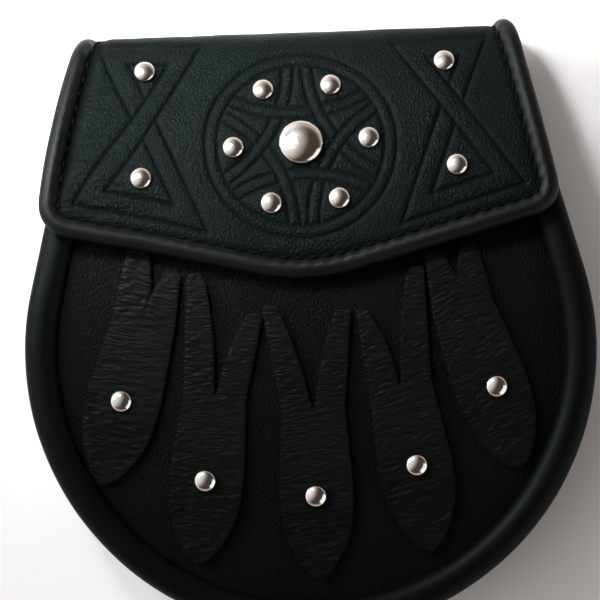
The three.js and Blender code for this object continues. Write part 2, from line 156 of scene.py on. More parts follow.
def addNode(tree, kind, links=None, values=None, **settings):
    node = tree.nodes.new(kind)
    for key, value in settings.items():
        setattr(node, key, value)
    for key, value in (values or {}).items():
        node.inputs[key].default_value = value
    for key, source in (links or {}).items():
        tree.links.new(source, node.inputs[key])
    return node


def mathNode(tree, operation, *terms):
    node = tree.nodes.new("ShaderNodeMath")
    node.operation = operation
    for i, term in enumerate(terms):
        if isinstance(term, (int, float)):
            node.inputs[i].default_value = term
        else:
            tree.links.new(term, node.inputs[i])
    return node.outputs[0]


def mapRange(tree, value, reach, limits, interpolation="LINEAR"):
    values = {"From Min": reach[0], "From Max": reach[1], "To Min": limits[0], "To Max": limits[1]}
    node = addNode(tree, "ShaderNodeMapRange", {"Value": value}, values, interpolation_type=interpolation)
    return node.outputs[0]


def colourMix(tree, share, deep, pale):
    return addNode(tree, "ShaderNodeMix", {0: share}, {6: deep, 7: pale}, data_type="RGBA").outputs[2]


def addBump(tree, shader, height, look):
    depth = {"Strength": look["strength"], "Distance": look["relief"]}
    bump = addNode(tree, "ShaderNodeBump", {"Height": height}, depth)
    tree.links.new(bump.outputs[0], shader.inputs["Normal"])


# leather grain: rounded pebbles with creases between them, a fine tooth, and slow patches of tone
pebbles = {
    "warpScale": 0.6,  # this and the tooth's scale are shares of the cells' own
    "warp": (0.0009, 0.0009, 0.0009),
    "rounding": 0.32,
    "toothScale": 2.4,
    "toneScale": 34.0,
    "toneReach": (0.3, 0.7),  # the part of the tone that moves the roughness
}
grainGroup, grainIn, grainOut = newGroup(
    "leatherGrain",
    [
        ("Vector", "NodeSocketVector", None),
        ("Cells", "NodeSocketFloat", 800.0),
        ("Crease", "NodeSocketFloat", 1.0),
        ("Tooth", "NodeSocketFloat", 0.3),
    ],
    [("Height", "NodeSocketFloat"), ("Tone", "NodeSocketFloat")],
)
grainPlace = grainIn.outputs["Vector"]
grainCells = grainIn.outputs["Cells"]
warp = addNode(
    grainGroup,
    "ShaderNodeTexNoise",
    {"Vector": grainPlace, "Scale": mathNode(grainGroup, "MULTIPLY", grainCells, pebbles["warpScale"])},
    {"Detail": 1.0},
)
shift = addNode(
    grainGroup,
    "ShaderNodeVectorMath",
    {0: warp.outputs["Color"]},
    {1: pebbles["warp"]},
    operation="MULTIPLY",
)
moved = addNode(grainGroup, "ShaderNodeVectorMath", {0: grainPlace, 1: shift.outputs[0]}, operation="ADD")
cells = addNode(
    grainGroup,
    "ShaderNodeTexVoronoi",
    {"Vector": moved.outputs[0], "Scale": grainCells},
    feature="DISTANCE_TO_EDGE",
)
dome = mapRange(grainGroup, cells.outputs["Distance"], (0.0, pebbles["rounding"]), (0.0, 1.0), "SMOOTHSTEP")
tooth = addNode(
    grainGroup,
    "ShaderNodeTexNoise",
    {"Vector": grainPlace, "Scale": mathNode(grainGroup, "MULTIPLY", grainCells, pebbles["toothScale"])},
    {"Detail": 3.0, "Roughness": 0.65},
)
tone = addNode(
    grainGroup, "ShaderNodeTexNoise", {"Vector": grainPlace}, {"Scale": pebbles["toneScale"], "Detail": 4.0}
)
pebble = mathNode(grainGroup, "MULTIPLY", dome, grainIn.outputs["Crease"])
toothHeight = mathNode(grainGroup, "MULTIPLY", tooth.outputs["Fac"], grainIn.outputs["Tooth"])
grainGroup.links.new(mathNode(grainGroup, "ADD", pebble, toothHeight), grainOut.inputs["Height"])
grainGroup.links.new(tone.outputs["Fac"], grainOut.inputs["Tone"])


def leatherMaterial(name, look):
    material, tree, shader = newMaterial(name)
    coords = addNode(tree, "ShaderNodeTexCoord")
    lay = addNode(
        tree, "ShaderNodeMapping", {"Vector": coords.outputs[look["coords"]]}, {"Scale": look["stretch"]}
    )
    grain = addNode(
        tree,
        "ShaderNodeGroup",
        {"Vector": lay.outputs[0]},
        {"Cells": look["cells"], "Crease": look["crease"], "Tooth": look["tooth"]},
        node_tree=grainGroup,
    )
    colour = colourMix(tree, grain.outputs["Tone"], look["deep"], look["pale"])
    rough = mapRange(tree, grain.outputs["Tone"], pebbles["toneReach"], look["rough"])
    tree.links.new(colour, shader.inputs["Base Color"])
    tree.links.new(rough, shader.inputs["Roughness"])
    addBump(tree, shader, grain.outputs["Height"], look)
    shader.inputs["Specular IOR Level"].default_value = look["shine"]
    shader.inputs["Specular Tint"].default_value = look["tint"]
    return material, tree, shader, colour, rough


panelLook = {
    "coords": "Object",
    "stretch": (1.0, 0.55, 1.0),  # the grain of the front runs down the panel
    "cells": 900.0,
    "crease": 0.9,
    "tooth": 0.35,
    "deep": (0.0007, 0.0008, 0.001, 1),
    "pale": (0.0026, 0.0028, 0.0032, 1),
    "rough": (0.5, 0.62),
    "strength": 0.5,
    "relief": 0.0003,
    "shine": 0.05,
    "tint": (0.84, 0.94, 1.0, 1),  # the cool cast of the black leather's sheen
}
flapLook = dict(
    panelLook,
    stretch=(1.0, 0.9, 1.0),
    cells=760.0,
    deep=(0.0006, 0.0014, 0.0013, 1),
    pale=(0.0022, 0.0039, 0.0038, 1),
    rough=(0.46, 0.6),
    shine=0.06,
    tint=(0.82, 1.0, 0.98, 1),
)
rollLook = dict(
    panelLook,
    stretch=(1.0, 1.0, 1.0),
    cells=1300.0,
    crease=0.25,
    tooth=0.5,
    deep=(0.0009, 0.0011, 0.0012, 1),
    pale=(0.0024, 0.0028, 0.003, 1),
    rough=(0.44, 0.54),
    strength=0.2,
    relief=0.0002,
    shine=0.065,
    tint=(0.84, 1.0, 1.0, 1),
)
bindingLook = dict(
    rollLook,
    deep=(0.0018, 0.0021, 0.002, 1),
    pale=(0.004, 0.0045, 0.0044, 1),
    rough=(0.42, 0.54),
    shine=0.14,
    tint=(0.9, 1.0, 0.99, 1),
)
leafLook = dict(
    panelLook,
    coords="UV",  # so that the grain runs across each leaf
    stretch=(0.32, 1.0, 1.0),
    cells=620.0,
    crease=1.0,
    deep=(0.0008, 0.001, 0.0009, 1),
    pale=(0.003, 0.0034, 0.0032, 1),
    rough=(0.42, 0.56),
    shine=0.078,
    tint=(0.88, 1.0, 0.95, 1),
)
backLook = dict(
    panelLook,
    stretch=(1.0, 1.0, 1.0),
    cells=820.0,
    deep=(0.005, 0.0055, 0.0055, 1),
    pale=(0.01, 0.011, 0.011, 1),
)
edgeLook = dict(
    panelLook,
    stretch=(1.0, 1.0, 0.4),
    cells=2200.0,
    deep=(0.0012, 0.0013, 0.0013, 1),
    pale=(0.003, 0.0032, 0.0032, 1),
    rough=(0.75, 0.9),
    shine=0.1,
)

panelLeather = leatherMaterial("panelLeather", panelLook)[0]
rolledLeather = leatherMaterial("rolledLeather", rollLook)[0]
bindingLeather = leatherMaterial("bindingLeather", bindingLook)[0]
leafLeather = leatherMaterial("leafLeather", leafLook)[0]
backLeather = leatherMaterial("backLeather", backLook)[0]
cutEdge = leatherMaterial("cutEdge", edgeLook)[0]

# painted shade darkens the flap's leather in the ornament's cut lines and in the seam's dip beside the
# binding, and the leather there is duller
shadedGrooveLook = {"colour": (0.0002, 0.0003, 0.0003, 1), "rough": 0.95}
flapLeather, flapTree, flapShader, flapColour, flapRough = leatherMaterial("flapLeather", flapLook)
# the mask of painted shade in the cut lines and the seam's dip
tooled = addNode(flapTree, "ShaderNodeAttribute", attribute_name="tooled").outputs["Fac"]
# mixes the painted shade into the flap's colour
paintedShade = addNode(
    flapTree, "ShaderNodeMix", {0: tooled, 6: flapColour}, {7: shadedGrooveLook["colour"]}, data_type="RGBA"
)
dulled = addNode(flapTree, "ShaderNodeMix", {0: tooled, 2: flapRough}, {3: shadedGrooveLook["rough"]})
flapTree.links.new(paintedShade.outputs[2], flapShader.inputs["Base Color"])
flapTree.links.new(dulled.outputs[0], flapShader.inputs["Roughness"])


# a finish with a small drift of colour, and a bump where its look has one
def fleckedMaterial(name, look):
    material, tree, shader = newMaterial(name)
    coords = addNode(tree, "ShaderNodeTexCoord")
    grain = {"Scale": look["scale"], "Detail": look["detail"]}
    fleck = addNode(tree, "ShaderNodeTexNoise", {"Vector": coords.outputs["Object"]}, grain).outputs["Fac"]
    tree.links.new(colourMix(tree, fleck, look["deep"], look["pale"]), shader.inputs["Base Color"])
    if "relief" in look:
        addBump(tree, shader, fleck, look)
    for label, value in look["plain"].items():
        shader.inputs[label].default_value = value
    return material, tree, shader, fleck


threadLook = {
    "scale": 2600.0,
    "detail": 2.0,
    "deep": (0.0005, 0.0006, 0.0006, 1),
    "pale": (0.0018, 0.002, 0.002, 1),
    "strength": 0.4,
    "relief": 0.0002,
    "plain": {"Roughness": 0.5, "Specular IOR Level": 0.07},
}
nickelLook = {
    "scale": 420.0,
    "detail": 5.0,
    "deep": (0.66, 0.62, 0.59, 1),
    "pale": (0.8, 0.77, 0.74, 1),
    "strength": 0.05,
    "relief": 0.0002,
    "hazeReach": (0.35, 0.7),
    "rough": (0.1, 0.2),
    "plain": {"Metallic": 1.0},
}
waxedThread = fleckedMaterial("waxedThread", threadLook)[0]
polishedNickel, nickelTree, nickelShader, nickelHaze = fleckedMaterial("polishedNickel", nickelLook)
nickelRough = mapRange(nickelTree, nickelHaze, nickelLook["hazeReach"], nickelLook["rough"])
nickelTree.links.new(nickelRough, nickelShader.inputs["Roughness"])
print("materials made")

roundShare = 0.62  # the share of a panel's rows that lie in its round end
frontPanel = {
    "inset": 9.0,
    "crown": 4.0,
    "edgeDrop": 5.0,  # how far the panel's edge lies under the top of the rim
    "topY": 86.0,
    "lowest": math.radians(-86.5),
    "uneven": ((0.07, 0.045), 4.2, 0.14),
    "columns": 120,
    "rows": 140,
}


# how far up each row of a panel lies
def panelHeight(v, panel):
    radius = pouch["round"] - panel["inset"]
    low = radius * np.sin(panel["lowest"] * np.clip(1 - v / roundShare, 0, 1))
    high = panel["topY"] * np.clip((v - roundShare) / (1 - roundShare), 0, 1)
    return np.where(v < roundShare, low, high)


def edgeShare(x, y):
    radius = pouch["round"] - frontPanel["inset"]
    below = np.hypot(x, y) / radius
    beside = np.abs(x) / halfWidthAt(y, frontPanel["inset"])
    return np.minimum(np.where(y < 0, below, beside), 1.0)


def frontTop(x, y):
    edge = pouch["rimCrest"] - fall(y) - frontPanel["edgeDrop"]
    return edge + frontPanel["crown"] * (1 - edgeShare(x, y) ** 2)


def placeFront(u, v):
    y = panelHeight(v, frontPanel)
    x = (2 * u - 1) * halfWidthAt(y, frontPanel["inset"])
    uneven = wobble(np.column_stack((x, y)), *frontPanel["uneven"])
    return np.column_stack((x, y, frontTop(x, y) + uneven))


shipPiece(
    moldedGrid(frontPanel["columns"], frontPanel["rows"], placeFront),
    "panelFront", panelLeather, ["front_panel"], pouch["wall"],
)
print("front panel laid")

cornerSteps = 24
outlineSteps = 160


# a path as evenly spaced points, with their outward directions and its length
def spacedPath(points, count):
    points = np.array(points, dtype=float)
    run = np.concatenate(([0], np.cumsum(np.hypot(*np.diff(points, axis=0).T))))
    at = np.linspace(0, run[-1], count + 1)
    path = np.column_stack((np.interp(at, run, points[:, 0]), np.interp(at, run, points[:, 1])))
    along = np.gradient(path, axis=0)
    along /= np.linalg.norm(along, axis=1)[:, None]
    return path, np.column_stack((-along[:, 1], along[:, 0])), run[-1]


def roundCorner(before, corner, after, size):
    before, corner, after = (np.array(p, dtype=float) for p in (before, corner, after))
    start = corner + (before - corner) / np.linalg.norm(before - corner) * size
    stop = corner + (after - corner) / np.linalg.norm(after - corner) * size
    t = np.linspace(0, 1, cornerSteps)[:, None]
    return list((1 - t) ** 2 * start + 2 * t * (1 - t) * corner + t**2 * stop)


def outlinePoints(inset, topY):
    radius = pouch["round"] - inset
    angles = np.linspace(pouch["taper"], -math.pi - pouch["taper"], outlineSteps)
    end = float(halfWidthAt(np.array(topY), inset))
    curve = [(radius * math.cos(a), radius * math.sin(a)) for a in angles]
    return [(end, topY)] + curve + [(-end, topY)]


# a roll: a section carried along a path and closed with rounded ends
def rolledEdge(path, out, section, lay, roll):
    count = len(path) - 1
    step = np.linalg.norm(path[1] - path[0])
    tipShare = 0.004  # the ends stop just short of a point

    def place(u, v):
        row = np.rint(v * count).astype(int)
        fromEnd = np.minimum(row, count - row) * step
        inside = np.clip(fromEnd / roll["endRound"], 0, 1)
        shrink = np.sqrt(np.clip(1 - (1 - inside) ** 2, tipShare, 1))
        across, height = section(u * math.tau, row * step)
        flat = path[row] + out[row] * (across * shrink)[:, None]
        return lay(flat[:, 0], flat[:, 1], height * shrink)

    bm = moldedGrid(roll["around"], count, place)
    bmesh.ops.remove_doubles(bm, verts=bm.verts, dist=mergeGap)
    bmesh.ops.holes_fill(bm, edges=[edge for edge in bm.edges if edge.is_boundary], sides=0)
    bmesh.ops.recalc_face_normals(bm, faces=bm.faces)
    return bm


frontRim = {
    "halfWidth": 5.5,
    "halfHeight": 5.0,
    "topY": 88.0,
    "uneven": ((0.05, 0.5), 2.3, 0.02),
    "endRound": 4.5,
    "steps": 420,
    "around": 28,
}
backRim = dict(
    frontRim,
    halfWidth=5.0,
    halfHeight=6.2,
    topY=86.0,
    middle=5.0,  # its underside is pressed flat on the floor
    uneven=((0.05, 0.5), 7.1, 0.02),
)


def layFront(x, y, height):
    return np.column_stack((x, y, pouch["rimCrest"] - frontRim["halfHeight"] - fall(y) + height))


def layBack(x, y, height):
    return np.column_stack((x, y, np.maximum(backRim["middle"] + height, 0.0)))


def rollRim(rim, lay, name, node):
    def section(angle, along):
        uneven = wobble(np.column_stack((along, np.cos(angle))), *rim["uneven"])
        swell = 1 + uneven - rim["uneven"][2]  # never past the full size
        return rim["halfWidth"] * np.cos(angle) * swell, rim["halfHeight"] * np.sin(angle) * swell

    path, out, length = spacedPath(outlinePoints(rim["halfWidth"], rim["topY"]), rim["steps"])
    roll = rolledEdge(path, out, section, lay, rim)
    return shipPiece(roll, name, rolledLeather, [node]), length


frontRoll, rimLength = rollRim(frontRim, layFront, "rimFront", "front_rim")
backRoll = rollRim(backRim, layBack, "rimBack", "back_rim")[0]
print("rims rolled, front", round(rimLength), "mm round")

flapCut = {
    "foldStart": math.radians(25.2),  # how far the front has turned where the fold begins
    "foldRadius": 10.3,
    "cornerY": 42.6,
    "tipY": 21.8,
    "cornerHalf": 85.8,
    "foldHalf": 72.8,
    "leftBow": 3.6,  # how far the left side spreads past a straight line
    "bowReach": (50.0, 70.0),  # nothing spreads nearer the middle, and all of it past the second
    "tabHalf": 58.0,
    "tabLength": 22.0,
    "crown": 1.6,  # how far the closed flap swells in the middle
    "crownHalf": 84.0,
    "crownFade": (-6.0, 30.0),  # where the crown starts and is whole, before the fold
    "tipFade": 16.0,  # and how soon from the V
    "foldPuff": 2.0,  # how far the fold stands out
    "puffShare": 0.55,  # of that in the middle, and more to the left by the lean
    "puffLean": 0.45,
    "puffHalf": 70.0,
    "puffStart": (16.0, 4.0),  # it grows from before the fold to just before its top
    "puffEnd": (4.0, 16.0),  # and is lost before the tab
    "uneven": (((0.06, 0.08), 1.9, 0.22), ((0.2, 0.24), 5.5, 0.07)),
    "wrinkle": ((0.16, 0.75), 8.8, 0.3),  # across the left side
    "wrinkleReach": (42.0, 66.0),
    "wrinkleFade": (-4.0, 14.0),
    "inset": 4.9,  # from the outline to the leather's own edge, inside the binding
    "columns": 380,
    "tabRows": 12,
    "foldRows": 36,
    "frontRows": 180,
    "underShare": 4,  # the plain underside has this many times fewer rows and columns
}
bindingCut = {
    "radius": 3.4,
    "plump": 0.98,  # the share of the radius that the roll fills
    "uneven": ((0.06, 0.5), 3.6, 0.025),
    "cornerRound": 8.0,
    "tipRound": 16.0,
    "endAngle": math.radians(150),
    "endRound": 3.4,
    "steps": 720,
    "around": 28,
    "pucker": 0.42,  # how deep the stitches pull the roll in
    "puckerSide": math.radians(140),  # where on the roll they bite, from its outside over the top
    "puckerReach": 0.5,
}
foldLength = pouch["upperBend"] * flapCut["foldStart"]
foldEnd = foldLength + flapCut["foldRadius"] * (math.pi - flapCut["foldStart"])
foldTop = foldLength + flapCut["foldRadius"] * (math.pi / 2 - flapCut["foldStart"])
bindingEnd = foldLength + flapCut["foldRadius"] * (bindingCut["endAngle"] - flapCut["foldStart"])
bendZ = pouch["flapCrest"] - pouch["upperBend"]
foldY = pouch["crest"] + (pouch["upperBend"] - flapCut["foldRadius"]) * math.sin(flapCut["foldStart"])
foldZ = bendZ + (pouch["upperBend"] - flapCut["foldRadius"]) * math.cos(flapCut["foldStart"])


def spreadFlap(x, length):
    along = np.sin(math.pi * np.clip(length / foldTop, 0, 1))
    return x - flapCut["leftBow"] * along * smoothStep(-x, *flapCut["bowReach"])


# a point of the flat cut flap, at a height over the middle of its leather, where it lies on the pouch
def bendFlap(x, length, height):
    angle = length / pouch["upperBend"]
    radius = pouch["upperBend"] + height
    frontY = pouch["crest"] + radius * np.sin(angle)
    frontZ = bendZ + radius * np.cos(angle)
    turn = flapCut["foldStart"] + (length - foldLength) / flapCut["foldRadius"]
    tight = flapCut["foldRadius"] + height
    overY = foldY + tight * np.sin(turn)
    overZ = foldZ + tight * np.cos(turn)
    onFront = length <= foldLength
    onTab = length >= foldEnd
    y = np.where(onFront, frontY, np.where(onTab, foldY - (length - foldEnd), overY))
    z = np.where(onFront, frontZ, np.where(onTab, foldZ - tight, overZ))
    return np.column_stack((spreadFlap(x, length), y, z))


# how far along the cut leather a point lies that is seen at this height in the front
def cutLength(y):
    if y <= pouch["crest"] + pouch["upperBend"] * math.sin(flapCut["foldStart"]):
        return pouch["upperBend"] * math.asin((y - pouch["crest"]) / pouch["upperBend"])
    turn = math.asin((y - foldY) / (flapCut["foldRadius"] + pouch["wall"] / 2))
    return foldLength + flapCut["foldRadius"] * (turn - flapCut["foldStart"])


tipLength = cutLength(flapCut["tipY"])
cornerLength = cutLength(flapCut["cornerY"])
ornament = {
    "ringY": 68.0,
    "ringOuter": 31.8,
    "ringInner": 27.8,
    "straps": 6,
    "strapNear": 10.6,  # the nearest that a strap of the star comes to the middle
    "strapBend": 45.0,
    "strapHalf": 1.9,
    # corners of each hourglass from the ring's middle: top outer, top inner, bottom outer, bottom inner
    "left": ((-65.3, 35.0), (-31.6, 34.0), (-72.7, -16.2), (-32.1, -27.8)),
    "right": ((63.5, 33.7), (31.6, 33.0), (73.5, -16.2), (32.1, -27.8)),
    "band": 6.3,
    "cutWidth": 0.46,  # the cut line itself, and the soft shoulders that fall to it
    "cutDepth": 0.44,
    "shoulderWidth": 1.25,
    "shoulderDepth": 0.24,
    "cutShadeWidth": 0.34,  # how wide and how strong the painted shade in the cut line is
    "cutShade": 0.65,
}
ringLength = cutLength(ornament["ringY"])


def segmentDistance(p, a, b):
    a, b = np.array(a), np.array(b)
    t = np.clip(((p - a) @ (b - a)) / ((b - a) @ (b - a)), 0, 1)
    return np.linalg.norm(p - (a + t[:, None] * (b - a)), axis=1)


def crossPoint(a, b):
    return a[0] + a[1] * np.cross(b[0] - a[0], b[1]) / np.cross(a[1], b[1])


# one band between two corners: its two edges as a point and a direction, the first through the start
def bandEdges(start, stop, width, turn):
    run = stop - start
    lean = turn * math.asin(width / np.linalg.norm(run))
    alongX = run[0] * math.cos(lean) - run[1] * math.sin(lean)
    alongY = run[0] * math.sin(lean) + run[1] * math.cos(lean)
    along = np.array((alongX, alongY))
    return (start, along), (stop, -along)


# one band of the hourglass passes over the other, and rails close its top and bottom
def hourglassLines(side):
    flat = lambda p: np.array((p[0], cutLength(ornament["ringY"] + p[1]) - ringLength))
    topOuter, topInner, bottomOuter, bottomInner = (flat(corner) for corner in ornament[side])
    width = ornament["band"]
    turn = 1 if side == "left" else -1
    overA, overB = bandEdges(topInner, bottomOuter, width, turn)
    underC, underD = bandEdges(topOuter, bottomInner, width, -turn)
    topLine = (topOuter + np.array((0, -width)), topInner - topOuter)
    slope = (bottomInner - bottomOuter) / np.linalg.norm(bottomInner - bottomOuter)
    lift = np.array((-slope[1], slope[0]))
    bottomLine = (bottomOuter + lift * width * np.sign(lift[1]), slope)
    over = [(topInner, crossPoint(overA, bottomLine)), (bottomOuter, crossPoint(overB, topLine))]
    under = [
        (topOuter, crossPoint(underC, overB)),
        (crossPoint(underC, overA), crossPoint(underC, bottomLine)),
        (bottomInner, crossPoint(underD, overA)),
        (crossPoint(underD, overB), crossPoint(underD, topLine)),
    ]
    rails = [
        (topOuter, topInner),
        (crossPoint(underD, topLine), crossPoint(overB, topLine)),
        (bottomOuter, bottomInner),
        (crossPoint(overA, bottomLine), crossPoint(underC, bottomLine)),
    ]
    return over + under + rails


def nearestGroove(x, length):
    p = np.column_stack((x, length - ringLength))
    away = np.linalg.norm(p, axis=1)
    near = np.minimum(np.abs(away - ornament["ringOuter"]), np.abs(away - ornament["ringInner"]))
    far = ornament["strapNear"] + ornament["strapBend"]
    straps = []
    for k in range(ornament["straps"]):
        turn = math.tau * (k + 0.5) / ornament["straps"]
        centre = far * np.array((math.cos(turn), math.sin(turn)))
        straps.append(np.abs(np.linalg.norm(p - centre, axis=1) - ornament["strapBend"]))
    for k, strap in enumerate(straps):
        edge = np.abs(strap - ornament["strapHalf"])
        hidden = (straps[k - 1] < ornament["strapHalf"]) | (away > ornament["ringInner"])
        near = np.minimum(near, np.where(hidden, np.inf, edge))
    for a, b in hourglassLines("left") + hourglassLines("right"):
        near = np.minimum(near, segmentDistance(p, a, b))
    return near


def flapHalf(length):
    share = np.clip((length - cornerLength) / (foldTop - cornerLength), 0, 1)
    return flapCut["cornerHalf"] + (flapCut["foldHalf"] - flapCut["cornerHalf"]) * share


def flapRoute(inset, end, cornerRound, tipRound):
    corner = (flapCut["cornerHalf"] - inset, cornerLength + inset)
    tip = (0.0, tipLength + inset)
    top = (flapCut["foldHalf"] - inset, foldTop)
    flip = lambda points: [(-p[0], p[1]) for p in points]
    right = [(top[0], end)] + ([top] if end > foldTop else []) + roundCorner(top, corner, tip, cornerRound)
    bottom = roundCorner(corner, tip, (-corner[0], corner[1]), tipRound)
    return right + bottom + flip(right)[::-1]


# the binding is sewn down in the corner between its roll and the flap
bindRoute = flapRoute(bindingCut["radius"], bindingEnd, bindingCut["cornerRound"], bindingCut["tipRound"])
bindPath, bindOut, bindLength = spacedPath(bindRoute, bindingCut["steps"])
seam = {
    "inset": 6.75,
    "dip": 0.35,
    "dipWidth": 1.1,
    "overFold": 2.0,  # the dip ends this far past the top of the fold
    # painted shade in the seam's dip, and how wide it is
    "seamShade": 0.8,
    "seamShadeWidth": 0.7,
    "pitch": 5.0,
    "stride": 8,  # every eighth point of the path is enough to measure from
    "leftDip": 1.25,  # down the left side the binding is pulled into a deeper, wider crease
    "leftWidth": 1.7,
    # more painted shade down the left crease, where the binding shades the flap
    "leftShade": 0.2,
    "leftReach": (50.0, 66.0),
    "leftStart": (10.0, 24.0),  # from the corner
}
seamCount = round(bindLength / seam["pitch"])
seamPath = bindPath - bindOut * (seam["inset"] - bindingCut["radius"])
stitchPhase = math.tau * seamCount / bindLength
flapShade = {}


def leftCrease(x, length):
    start, whole = seam["leftStart"]
    return smoothStep(-x, *seam["leftReach"]) * smoothStep(length, cornerLength + start, cornerLength + whole)


def flapSwell(x, length):
    crown = flapCut["crown"] * (1 - (x / flapCut["crownHalf"]) ** 2)
    crown = crown * smoothStep(foldLength - length, *flapCut["crownFade"])
    crown = crown * smoothStep(length, tipLength, tipLength + flapCut["tipFade"])
    lean = flapCut["puffShare"] - flapCut["puffLean"] * x / flapCut["puffHalf"]
    before, beforeTop = flapCut["puffStart"]
    puff = flapCut["foldPuff"] * lean * smoothStep(length, foldLength - before, foldTop - beforeTop)
    return crown + puff * smoothStep(foldEnd - length, *flapCut["puffEnd"])


# where a point of the flap's grid is on the flat cut leather
def cutPoint(u, v):
    tab, fold, front = flapCut["tabRows"], flapCut["foldRows"], flapCut["frontRows"]
    row = (1 - v) * (tab + fold + front)
    across = 2 * u - 1
    blunt = bindingCut["tipRound"] / flapCut["cornerHalf"]
    vee = np.where(np.abs(across) < blunt, (across**2 + blunt**2) / (2 * blunt), np.abs(across))
    edge = tipLength + (cornerLength - tipLength) * vee + flapCut["inset"]
    tabEnd = foldEnd + flapCut["tabLength"]
    length = np.where(
        row <= tab,
        tabEnd + (foldEnd - tabEnd) * row / tab,
        np.where(
            row <= tab + fold,
            foldEnd + (foldLength - foldEnd) * (row - tab) / fold,
            foldLength + (edge - foldLength) * (row - tab - fold) / front,
        ),
    )
    narrowing = smoothStep(length, bindingEnd, foldEnd)
    half = flapHalf(length) - flapCut["inset"]
    return across * (half + (flapCut["tabHalf"] - half) * narrowing), length


def placeFlap(u, v):
    x, length = cutPoint(u, v)
    flat = np.column_stack((x, length))
    uneven = sum(wobble(flat, *ripple) for ripple in flapCut["uneven"])
    creased = smoothStep(-x, *flapCut["wrinkleReach"])
    creased = creased * smoothStep(foldLength - length, *flapCut["wrinkleFade"])
    wrinkles = wobble(flat, *flapCut["wrinkle"]) * creased
    stride = seam["stride"]
    runs = zip(seamPath[:-stride:stride], seamPath[stride::stride])
    fromSeam = np.min([segmentDistance(flat, a, b) for a, b in runs], axis=0)
    crease = leftCrease(x, length)
    wider = seam["leftWidth"] * crease
    dip = bell(fromSeam, seam["dipWidth"] + wider) * (length < foldTop + seam["overFold"])
    dip = dip * (seam["dip"] + seam["leftDip"] * crease)
    # painted shade in the seam's dip, wider and stronger down the left crease
    seamShade = (seam["seamShade"] + seam["leftShade"] * crease) * bell(fromSeam, seam["seamShadeWidth"] + wider)
    near = nearestGroove(x, length)
    cut = ornament["cutDepth"] * bell(near, ornament["cutWidth"])
    shoulder = ornament["shoulderDepth"] * bell(near, ornament["shoulderWidth"])
    # painted shade in the cut lines and along the seam, kept for the flap's colour
    flapShade["tooled"] = np.clip(ornament["cutShade"] * bell(near, ornament["cutShadeWidth"]) + seamShade, 0, 1)
    relief = uneven + wrinkles - dip - cut - shoulder
    return bendFlap(x, length, pouch["wall"] / 2 + flapSwell(x, length) + relief)


def placeUnder(u, v):
    x, length = cutPoint(u, v)
    return bendFlap(x, length, flapSwell(x, length) - pouch["wall"] / 2)


flapRows = flapCut["tabRows"] + flapCut["foldRows"] + flapCut["frontRows"]
flapSheet = moldedGrid(flapCut["columns"], flapRows, placeFlap)
# each point of the flap keeps its share of painted shade
tooledLayer = flapSheet.verts.layers.float.new("tooled")
for flapVert, share in zip(flapSheet.verts, flapShade["tooled"]):
    flapVert[tooledLayer] = share
underColumns = flapCut["columns"] // flapCut["underShare"]
underside = moldedGrid(underColumns, flapRows // flapCut["underShare"], placeUnder)
bmesh.ops.reverse_faces(underside, faces=underside.faces)
joinSheet(flapSheet, underside)
flapEdge = [edge for edge in flapSheet.edges if edge.is_boundary]
bmesh.ops.bridge_loops(flapSheet, edges=flapEdge)
shipPiece(flapSheet, "flapTooled", flapLeather, ["flap"])
print("flap bent over, ring at", round(ringLength, 1), "mm along the cut")


def bindingSection(angle, along):
    uneven = wobble(np.column_stack((along, np.cos(angle))), *bindingCut["uneven"])
    bite = bell(angle - bindingCut["puckerSide"], bindingCut["puckerReach"])
    pulled = bindingCut["pucker"] * bite * (0.5 - 0.5 * np.cos(along * stitchPhase))
    radius = bindingCut["radius"] * (bindingCut["plump"] + uneven) - pulled
    return radius * np.cos(angle), radius * np.sin(angle)


binding = shipPiece(
    rolledEdge(bindPath, bindOut, bindingSection, bendFlap, bindingCut),
    "bindingRoll", bindingLeather, ["flap_binding"],
)

# one stitch is a small rounded bar; a row of them follows a path on a surface
stitch = {"length": 3.0, "thick": 0.8, "lift": 0.1, "segments": 8, "rings": 6}


def stitchRow(bm, path, count, lay, size=stitch):
    share = np.linspace(0, 1, len(path))
    total = np.hypot(*np.diff(path, axis=0).T).sum()
    for i in range(count):
        ends = []
        for reach in (-0.5, 0.0, 0.5):
            at = np.array([(i + 0.5) / count + reach * size["length"] / total])
            ends.append(Vector(lay(np.interp(at, share, path[:, 0]), np.interp(at, share, path[:, 1]))[0]))
        along = (ends[2] - ends[0]).normalized()
        turn = Vector((0, 0, 1)).rotation_difference(along).to_matrix().to_4x4()
        grow = Matrix.Diagonal((size["thick"] / 2, size["thick"] / 2, size["length"] / 2, 1))
        bmesh.ops.create_uvsphere(
            bm, u_segments=size["segments"], v_segments=size["rings"], radius=1.0,
            matrix=Matrix.Translation(ends[1]) @ turn @ grow,
        )


def laySeam(x, length):
    sunk = seam["leftDip"] * leftCrease(x, length)
    return bendFlap(x, length, pouch["wall"] / 2 + stitch["lift"] + flapSwell(x, length) - sunk)


flapThread = bmesh.new()
stitchRow(flapThread, seamPath, seamCount, laySeam)
shipPiece(flapThread, "flapStitches", waxedThread, None)
print("binding sewn on with", seamCount, "stitches")

